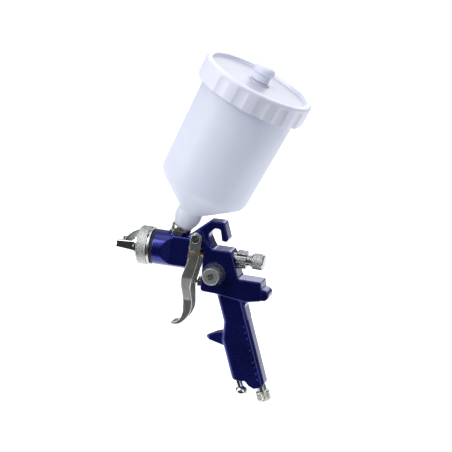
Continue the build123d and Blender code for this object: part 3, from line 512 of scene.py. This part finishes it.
def knurled_ring():
    lip_back = RING_FRONT - RING_LIP
    outline = [
        (SPIGOT_R + 0.1, RING_BACK, 0.2),
        (RING_R - 0.3, RING_BACK, 0.5),
        (RING_R - 0.3, KNURL_BACK - 1.1, 0.2),
        (RING_R - 1.1, KNURL_BACK - 0.9, 0.1),
        (RING_R - 1.1, KNURL_BACK - 0.2, 0.1),
        (RING_R, KNURL_BACK + 0.1, 0.2),
        (RING_R, RING_FRONT - 0.1, 0.9),
        (RING_LIP_R, RING_FRONT - 0.02, 0.2),
        (RING_LIP_R, lip_back, 0),
        (CAP_FLANGE_R + CAP_GAP, lip_back, 0),
        (CAP_FLANGE_R + CAP_GAP, SPIGOT_FRONT, 0),
        (SPIGOT_R + 0.1, SPIGOT_FRONT - 1.0, 0),
    ]
    knurl = diamond_knurl(76, 0.34, KNURL_BACK + 0.2, RING_FRONT - 0.9, RING_R, 1.45)
    mesh = turned_mesh("knurled_ring", outline, SPRAY, 608, knurl, step=0.24)
    return object_from("knurled_ring", mesh, "nickel_knurl", "retaining_ring", "retaining_ring", sharp=60)


def slot_shade_discs():
    """Black discs in the groove behind the knurl: painted shade for the dark ends of the slots between the ring's
    knurl and its plain lip, which are not cut.
    """
    for i in range(RING_SLOTS):
        angle = 2 * pi * i / RING_SLOTS + radians(15)
        outline = [(1.9, 0, 0.2), (1.9, 0.7, 0.2), (0, 0.7, 0), (0, 0, 0)]
        place = SPRAY @ Matrix.Rotation(angle, 4, "Z") @ Matrix.Translation(
            ((RING_R - 1.55) * MM, 0, (KNURL_BACK - 0.55) * MM)) @ Matrix.Rotation(pi / 2, 4, "Y")
        mesh = turned_mesh(f"slot_shade_disc_{i}", outline, place, 20)
        object_from(f"slot_shade_disc_{i}", mesh, "black_rubber", "retaining_ring")


def horn_mesh(work, turn):
    """One flat-sided horn, its faces running back into the dome."""
    tip = RING_FRONT + HORN_REACH
    base = RING_FRONT + 0.6
    side = [
        (6.2, base), (12.7, base), (13.0, RING_FRONT + 3.0), (HORN_OFFSET + 1.7, tip - 1.0),
        (HORN_OFFSET + 1.0, tip - 0.2), (HORN_OFFSET - 2.0, tip - 0.2), (5.0, RING_FRONT + CAP_LENGTH - 2.0),
    ]
    rings = []
    for sign in (-1, 1):
        ring = []
        for r, h in side:
            half = HORN_WIDTH / 2 - HORN_TAPER * (h - base) / (tip - base)
            point = Matrix.Rotation(turn, 4, "Z") @ Vector((r * MM, sign * half * MM, h * MM))
            ring.append(work.verts.new(point))
        rings.append(ring)
    work.faces.new(rings[0])
    work.faces.new(list(reversed(rings[1])))
    for i in range(len(side)):
        k = (i + 1) % len(side)
        work.faces.new((rings[0][i], rings[1][i], rings[1][k], rings[0][k]))


def horned_cap():
    """The polished air cap: a turned dome with two bars along it."""
    flange_back = RING_FRONT - RING_LIP - CAP_FLANGE - CAP_GAP
    outer = RING_LIP_R - CAP_GAP
    wall = 1.8
    dome = [
        (outer, RING_FRONT + 2.6, 1.2), (12.3, RING_FRONT + 5.2, 1.6), (10.4, RING_FRONT + 8.6, 1.8),
        (7.6, RING_FRONT + 11.8, 1.6), (5.4, RING_FRONT + CAP_LENGTH - 0.5, 0.5),
        (4.6, RING_FRONT + CAP_LENGTH - 0.05, 0.3),
    ]
    outline = [
        (outer - wall, flange_back, 0), (CAP_FLANGE_R, flange_back, 0.2),
        (CAP_FLANGE_R, flange_back + CAP_FLANGE, 0.2), (outer, flange_back + CAP_FLANGE, 0),
        *dome,
        (CAP_MOUTH_R, RING_FRONT + CAP_LENGTH - 0.05, 0.3), (CAP_MOUTH_R, RING_FRONT + CAP_LENGTH - wall, 0),
        (3.5, RING_FRONT + CAP_LENGTH - wall, 0), (5.8, RING_FRONT + 11.2, 0), (8.6, RING_FRONT + 8.4, 0),
        (10.5, RING_FRONT + 5.0, 0), (outer - wall, RING_FRONT + 2.6, 0),
    ]
    mesh = turned_mesh("cap_dome", outline, Matrix.Identity(4), 128)
    work = bmesh.new()
    work.from_mesh(mesh)
    before = set(work.edges)
    for turn in (0, pi):
        horn_mesh(work, turn)
    edges = [edge for edge in work.edges if edge not in before]
    bmesh.ops.bevel(work, geom=edges, offset=0.55 * MM, segments=3, affect="EDGES", profile=0.5)
    bmesh.ops.recalc_face_normals(work, faces=work.faces)
    work.transform(SPRAY @ Matrix.Rotation(radians(90 - HORN_TURN), 4, "Z"))
    work.to_mesh(mesh)
    work.free()
    return object_from("horned_cap", mesh, "chrome", "air_cap", "air_cap", sharp=40)


# ---------------------------------------------------------------- knobs
GUIDE_R = 5.0
LOCKNUT_FRONT = -38.6
LOCKNUT_LENGTH = 9.2
LOCKNUT_R = 8.3
FLUID_KNOB_R = 7.3
FLUID_KNOB_FRONT = -51.2
FLUID_KNOB_LENGTH = 12.6
NEEDLE_TAIL_R = 2.0
KNOB_BASE = 12.1        # distance of the pattern knob's base from the gun's middle plane
PATTERN_KNOB_R = 10.4
PATTERN_KNOB_END_R = 8.0
PATTERN_KNOB_H = 14.0
PATTERN_TEETH = 38
PATTERN_TOOTH = 0.85


def lobed_nut():
    back = LOCKNUT_FRONT - LOCKNUT_LENGTH
    outline = [
        (GUIDE_R + 0.1, back, 0.3), (LOCKNUT_R, back, 1.5),
        (LOCKNUT_R, LOCKNUT_FRONT, 1.2), (GUIDE_R + 0.1, LOCKNUT_FRONT, 0.3),
    ]
    lobes = flutes(6, 2.5, LOCKNUT_R + 0.8, back - 1, LOCKNUT_FRONT + 1, GUIDE_R + 0.5)
    knurl = diamond_knurl(36, 0.26, back + 0.9, LOCKNUT_FRONT - 0.9, LOCKNUT_R, 1.4)
    mesh = turned_mesh("lobed_nut", outline, SPRAY, 288, both(knurl, lobes), step=0.3)
    return object_from("lobed_nut", mesh, "nickel_knurl", "fluid_lock_nut", "fluid_lock_nut", sharp=60)


def knurled_knob():
    back = FLUID_KNOB_FRONT - FLUID_KNOB_LENGTH
    neck = FLUID_KNOB_FRONT - 1.4
    outline = [
        (0, back, 0), (FLUID_KNOB_R - 2.6, back, 0.3), (FLUID_KNOB_R - 1.2, back + 0.3, 0.5),
        (FLUID_KNOB_R, back + 1.7, 0.7), (FLUID_KNOB_R, neck - 1.2, 0.5), (FLUID_KNOB_R - 1.2, neck, 0.3),
        (GUIDE_R + 0.2, neck, 0.2), (GUIDE_R + 0.2, FLUID_KNOB_FRONT, 0.2),
        (NEEDLE_TAIL_R, FLUID_KNOB_FRONT, 0), (NEEDLE_TAIL_R, FLUID_KNOB_FRONT + 5.6, 0.2),
        (0, FLUID_KNOB_FRONT + 5.6, 0),
    ]
    knurl = diamond_knurl(34, 0.32, back + 2.0, neck - 1.5, FLUID_KNOB_R, 1.35)
    mesh = turned_mesh("knurled_knob", outline, SPRAY, 272, knurl, step=0.25)
    return object_from("knurled_knob", mesh, "nickel_knurl", "fluid_knob", "fluid_knob", sharp=60)


def toothed_knob():
    """The pattern knob: a tapered body whose teeth stand out most at its broad foot."""
    low = KNOB_BASE
    high = low + PATTERN_KNOB_H
    outline = [
        (2.4, low, 0), (PATTERN_KNOB_R, low, 0.8), (PATTERN_KNOB_R, low + 3.0, 0.8),
        (PATTERN_KNOB_END_R, high - 1.0, 0.5), (PATTERN_KNOB_END_R - 1.0, high - 0.02, 0.4),
        (3.0, high - 0.02, 0.1), (3.0, high - 0.9, 0), (2.4, high - 0.9, 0),
    ]

    def relief(angle, r, h):
        foot = PATTERN_KNOB_R if h < low + 3.0 else PATTERN_KNOB_R - (h - low - 3.0) * 0.24
        if r < foot - 1.6 or h < low + 0.2 or h > high - 0.1:
            return r
        wave = triangle_wave(PATTERN_TEETH * angle / (2 * pi))
        return r - PATTERN_TOOTH * (1 - min(1.0, 1.7 * wave))

    mesh = turned_mesh("toothed_knob", outline, PATTERN, 8 * PATTERN_TEETH, relief, step=0.5)
    piece = object_from("toothed_knob", mesh, "nickel_knurl", "pattern_control", "pattern_knob", sharp=50)
    # Painted light: the faces that look out along +Y take the lighter copy of the nickel.
    piece.data.materials.append(KNOB_LIT_FACE_LOOK)
    for face in mesh.polygons:
        if face.normal.y > 0.9:
            face.material_index = 1
    return piece


# ---------------------------------------------------------------- cup and lid
BOSS_TOP = 16.0
HEX_HEIGHT = 5.6
LOCK_RING_HEIGHT = 3.0
NIPPLE_R = 6.4
NIPPLE_REACH = 9.5
NECK_LOW_R = 8.5
NECK_BULGE_R = 12.1
NECK_TOP_R = 11.3
NECK_HEIGHT = 16.5
CONE_HEIGHT = 24.5
CUP_WALL = 1.6
CUP_LOW_R = 42.3
CUP_TOP_R = 44.8
CUP_HEIGHT = 104.0
GASKET_T = 1.4
LID_R = 51.3
LID_SKIRT = 20.0
LID_WALL = 3.0
LID_TOP_T = 2.2
LID_RECESS = 3.0
LID_RIM = 5.2
LID_FLUTES = 16
LID_FLUTE_DEPTH = 1.1
VENT_BOSS_R = 9.6
VENT_STEM_R = 8.0
VENT_CAP_R = 9.4
VENT_CAP_TOP = 16.9
VENT_HOLE_R = 2.5
CUP_FOOT = BOSS_TOP + HEX_HEIGHT + LOCK_RING_HEIGHT + CAP_GAP
CUP_NECK = CUP_FOOT + NECK_HEIGHT
CUP_SHOULDER = CUP_NECK + CONE_HEIGHT
CUP_RIM = CUP_SHOULDER + CUP_HEIGHT
LID_DISC = CUP_RIM + GASKET_T + LID_TOP_T
LID_TOP = LID_DISC + LID_RECESS


def blown_cup():
    """The cup's outer wall with its soft bulge and shoulder, and its inner wall."""
    seat = CUP_FOOT + NIPPLE_REACH + 0.6
    bore = NIPPLE_R + 0.1
    outline = [
        (bore, CUP_FOOT, 0.2), (NECK_LOW_R, CUP_FOOT, 0.5),
        (NECK_LOW_R + 1.0, CUP_FOOT + 2.0, 1.5), (NECK_BULGE_R - 0.4, CUP_FOOT + 7.2, 3.0),
        (NECK_BULGE_R, CUP_FOOT + 12.4, 3.0), (NECK_TOP_R, CUP_NECK, 1.6),
        (CUP_LOW_R - 0.8, CUP_SHOULDER, 5.0), (CUP_TOP_R, CUP_RIM, 0.3),
        (CUP_TOP_R - CUP_WALL, CUP_RIM, 0.3), (CUP_LOW_R - CUP_WALL - 0.8, CUP_SHOULDER + 1.6, 4.0),
        (NIPPLE_R + 2.8, CUP_NECK + 1.6, 2.0), (NIPPLE_R + 1.6, seat, 0), (bore, seat, 0),
    ]
    mesh = turned_mesh("blown_cup", outline, CUP, 180)
    return object_from("blown_cup", mesh, "cup_plastic", "cup", "cup", sharp=50)


def fluted_lid():
    """The screw lid: broad shallow flutes on the skirt, which fade out under a rounded rim."""
    under = LID_DISC - LID_TOP_T
    skirt_low = LID_TOP - LID_SKIRT
    inside = LID_R - LID_WALL - LID_FLUTE_DEPTH - 1.4
    recess = LID_R - LID_RIM
    outline = [
        (VENT_HOLE_R, under, 0.2), (inside, under, 0.8), (inside, skirt_low, 0.3),
        (LID_R - 0.3, skirt_low, 0.9), (LID_R, LID_TOP - 0.6, 2.2), (recess + 0.2, LID_TOP, 0.9),
        (recess - 0.4, LID_DISC, 1.0), (VENT_BOSS_R, LID_DISC, 0.6), (VENT_BOSS_R, LID_DISC + 1.8, 0.5),
        (VENT_STEM_R - 1.7, LID_DISC + 1.8, 0.3), (VENT_STEM_R - 1.7, LID_DISC + 7.0, 0.4),
        (VENT_HOLE_R, LID_DISC + 7.0, 0.3),
    ]

    def relief(angle, r, h):
        if r < LID_R - 1.4:
            return r
        part = (LID_FLUTES * angle / (2 * pi) + 0.5) % 1.0 - 0.5
        shape = max(0.0, 1 - (part / 0.26) ** 2)
        fade = min(1.0, max(0.0, (LID_TOP - 2.6 - h) / 1.6))
        return r - LID_FLUTE_DEPTH * shape ** 0.7 * fade

    mesh = turned_mesh("fluted_lid", outline, CUP, 384, relief, step=1.2)
    piece = object_from("fluted_lid", mesh, "lid_plastic", "lid", "lid", sharp=50)
    # Painted shade: faces of the recessed disc inside the rim take the darker copy of the lid plastic.
    piece.data.materials.append(RECESS_SHADE_LOOK)
    inverse = CUP.inverted()
    for face in mesh.polygons:
        spot = inverse @ face.center
        if Vector((spot.x, spot.y)).length < (recess - 0.6) * MM:
            face.material_index = 1
    return piece


def drip_cap():
    low = LID_DISC + 1.8 + CAP_GAP
    high = LID_DISC + VENT_CAP_TOP
    collar = low + (high - low) * 0.46
    inner = VENT_STEM_R - 1.55
    outline = [
        (inner, low, 0.3), (VENT_STEM_R, low, 0.6), (VENT_STEM_R - 0.2, collar - 0.8, 0.8),
        (VENT_CAP_R, collar + 0.2, 0.9), (VENT_CAP_R, high - 2.6, 1.6), (VENT_CAP_R - 2.2, high - 0.8, 1.6),
        (0, high - 0.02, 0), (0, LID_DISC + 7.4, 0), (inner, LID_DISC + 7.4, 0),
    ]
    mesh = turned_mesh("drip_cap", outline, CUP, 96)
    return object_from("drip_cap", mesh, "lid_plastic", "vent_cap", "vent_cap", sharp=50)


# ---------------------------------------------------------------- fittings under the grip
INLET_R = 6.58
INLET_PITCH = 1.337
INLET_THREAD = 0.62
INLET_LENGTH = 10.8
INLET_NECK_R = 4.6
INLET_BORE_R = 3.6
VOLUME_BALL_R = 5.7
VOLUME_NECK_R = 3.3
VOLUME_NECK = 7.6


def threaded_inlet():
    """The air nipple with its real 1.337 mm thread, rounded ends and bore."""
    half = INLET_LENGTH / 2
    outline = [
        (INLET_BORE_R, -half - 10.0, 0), (INLET_NECK_R, -half - 10.0, 0), (INLET_NECK_R, -half + 0.4, 0),
        (INLET_NECK_R + 0.6, -half, 0.3), (INLET_R, -half + 1.4, 1.0), (INLET_R, half - 2.0, 1.0),
        (INLET_R - 2.2, half - 0.02, 0.8), (INLET_BORE_R, half - 0.02, 0.3),
    ]
    low, high = -half + 1.4, half - 2.0
    thread = helical_thread(INLET_PITCH, INLET_THREAD, low, high, INLET_R - 0.8)
    mesh = turned_mesh("threaded_inlet", outline, INLET, 120, thread, step=0.16)
    return object_from("threaded_inlet", mesh, "satin_steel", "gun", "air_inlet", sharp=50)


def ball_knob():
    """The air-volume knob: a turned ball on a neck."""
    centre_height = VOLUME_NECK + VOLUME_BALL_R - 0.8
    outline = [(1.8, CAP_GAP, 0), (VOLUME_NECK_R, CAP_GAP, 0.3)]
    neck_angle = atan2(sqrt(VOLUME_BALL_R ** 2 - VOLUME_NECK_R ** 2), VOLUME_NECK_R)
    steps = 28
    for i in range(steps):
        tilt = -neck_angle + (pi / 2 + neck_angle) * i / steps
        outline.append((VOLUME_BALL_R * cos(tilt), centre_height + VOLUME_BALL_R * sin(tilt), 0))
    outline += [(0, centre_height + VOLUME_BALL_R - 0.01, 0), (0, VOLUME_NECK, 0), (1.8, VOLUME_NECK, 0)]
    mesh = turned_mesh("ball_knob", outline, VOLUME, 80)
    return object_from("ball_knob", mesh, "chrome", "volume_control", "volume_knob", sharp=30)


INLET = upright(centre("air_inlet"), GRIP_AXIS)
VOLUME = upright(JOINTS["volume_turn"]["pos_m"], GRIP_AXIS)


def end_along(node, place, end):
    """The lowest or highest place of a node along a place's Z, in metres."""
    inverse = place.inverted()
    heights = [(inverse @ v.co).z for v in NODES[node].data.vertices]
    return min(heights) if end < 0 else max(heights)


INLET = INLET @ Matrix.Translation((0, 0, end_along("air_inlet", INLET, 1) - INLET_LENGTH / 2 * MM))
VOLUME = VOLUME @ Matrix.Translation((0, 0, end_along("volume_knob", VOLUME, -1) - CAP_GAP * MM))

# ---------------------------------------------------------------- everything
make_camera()
cast_body()
forged_trigger()
bar_heads()
knurled_ring()
slot_shade_discs()
horned_cap()
lobed_nut()
knurled_knob()
toothed_knob()
blown_cup()
fluted_lid()
drip_cap()
threaded_inlet()
ball_knob()
for node, name, edge, slot_name, body in (
    ("inlet_fitting", "cup_fitting_hex", 0.35, "satin_steel", "gun"),
    ("lock_ring", "cup_lock_ring", 0.3, "satin_steel", "gun"),
    ("air_valve_gland", "valve_gland_nut", 0.35, "chrome", "gun"),
    ("packing_nut", "needle_gland_nut", 0.3, "brass", "gun"),
    ("pattern_bushing", "pattern_gland", 0.3, "satin_steel", "gun"),
    ("pivot_stud", "pivot_pin", 0.3, "chrome", "gun"),
    ("pivot_screw", "slotted_pivot_screw", 0.18, "chrome", "gun"),
    ("pattern_knob_screw", "knob_screw", 0.15, "satin_steel", "pattern_control"),
    ("needle_collar", "needle_stop", 0.3, "brass", "needle"),
    ("fluid_nozzle", "nozzle_tip", 0.12, "satin_steel", "gun"),
    ("head_seal", "front_seal", 0.4, "black_rubber", "gun"),
):
    machined(name, node, edge, slot_name, body)
NEEDLE_SPRING_BACK, NEEDLE_SPRING_FRONT = -50.1, -29.0
VALVE_SPRING_BACK, VALVE_SPRING_FRONT = -39.9, -24.2
spring(
    "needle_return_spring", "needle_spring", NEEDLE_SPRING_BACK, NEEDLE_SPRING_FRONT, 2.9, 0.5, 9,
    SPRAY, "gun",
)
VALVE = upright(Vector((DATUM.x, 0, centre("air_valve_stem").z)), (1, 0, 0))
spring(
    "valve_return_spring", "air_valve_spring", VALVE_SPRING_BACK, VALVE_SPRING_FRONT, 2.6, 0.5, 8,
    VALVE, "gun",
)

NODE_SLOTS = {part["node"]: part["material_slot"] for part in frame["record"]["subparts"]}
for node, piece in NODES.items():
    dress(piece, LOOKS[NODE_SLOTS[node]])


# ---------------------------------------------------------------- stage and light
FLOOR_R = 6.0
FLOOR_BACK = 5.8        # how far the floor's centre lies behind the gun


def stage():
    floor_z = cad_low[2] - 0.12
    floor = bpy.data.meshes.new("floor")
    sides = 192
    turns = [2 * pi * i / sides for i in range(sides)]
    rim = [(FLOOR_R * cos(turn), FLOOR_R * sin(turn) - FLOOR_BACK, floor_z) for turn in turns]
    floor.from_pydata(rim, [], [list(range(sides))])
    piece = bpy.data.objects.new("floor", floor)
    bpy.context.scene.collection.objects.link(piece)
    look = Look("floor", (0.93, 0.93, 0.93), roughness=0.7)
    look.drive("Base Color", look.ramp(look.noise(400.0, 2.0), [(0.3, 0.92), (0.7, 0.95)]))
    look.set("Emission Color", (1, 1, 1, 1))
    look.set("Emission Strength", 0.72)
    piece.data.materials.append(look.material)


def area_light(name, place, aim, size, power, color=(1, 1, 1)):
    light = bpy.data.lights.new(name, "AREA")
    light.shape = "RECTANGLE"
    light.size, light.size_y = size
    light.energy = power
    light.color = color
    lamp = bpy.data.objects.new(name, light)
    place, aim = Vector(place), Vector(aim)
    lamp.location = place
    lamp.rotation_euler = (aim - place).to_track_quat("-Z", "Y").to_euler()
    bpy.context.scene.collection.objects.link(lamp)
    return lamp


def light_up():
    world = bpy.data.worlds.new("studio")
    bpy.context.scene.world = world
    world.use_nodes = True
    nodes, links = world.node_tree.nodes, world.node_tree.links
    coordinates = nodes.new("ShaderNodeTexCoord")
    split = nodes.new("ShaderNodeSeparateXYZ")
    links.new(coordinates.outputs["Generated"], split.inputs["Vector"])
    ramp = nodes.new("ShaderNodeValToRGB")
    ramp.color_ramp.elements[0].position = 0.5
    ramp.color_ramp.elements[0].color = (0.045, 0.047, 0.05, 1)
    ramp.color_ramp.elements[1].position = 1.0
    ramp.color_ramp.elements[1].color = (0.75, 0.76, 0.78, 1)
    half = nodes.new("ShaderNodeMapRange")
    half.inputs["From Min"].default_value = -1.0
    links.new(split.outputs["Z"], half.inputs["Value"])
    links.new(half.outputs["Result"], ramp.inputs["Fac"])
    path = nodes.new("ShaderNodeLightPath")
    mix = nodes.new("ShaderNodeMix")
    mix.data_type = "RGBA"
    mix.inputs["B"].default_value = (1.0, 1.0, 1.0, 1)
    links.new(path.outputs["Is Camera Ray"], mix.inputs["Factor"])
    links.new(ramp.outputs["Color"], mix.inputs["A"])
    background = nodes["Background"]
    links.new(mix.outputs["Result"], background.inputs["Color"])
    background.inputs["Strength"].default_value = 1.0
    middle = [(low + high) / 2 for low, high in zip(cad_low, cad_high)]
    area_light("key", (0.55, 0.85, 0.75), middle, (0.5, 0.9), 9.0)
    area_light("side", (-0.9, 0.6, 0.3), middle, (0.4, 0.9), 2.2)
    area_light("muzzle", (1.0, 0.55, 0.1), middle, (0.35, 0.8), 4.5)
    area_light("top", (-0.1, 0.1, 1.1), middle, (0.9, 0.7), 3.0)
    area_light("back", (-0.2, -0.9, 0.6), middle, (0.8, 0.8), 4.5)


stage()
light_up()
bpy.context.scene.view_settings.view_transform = "Standard"
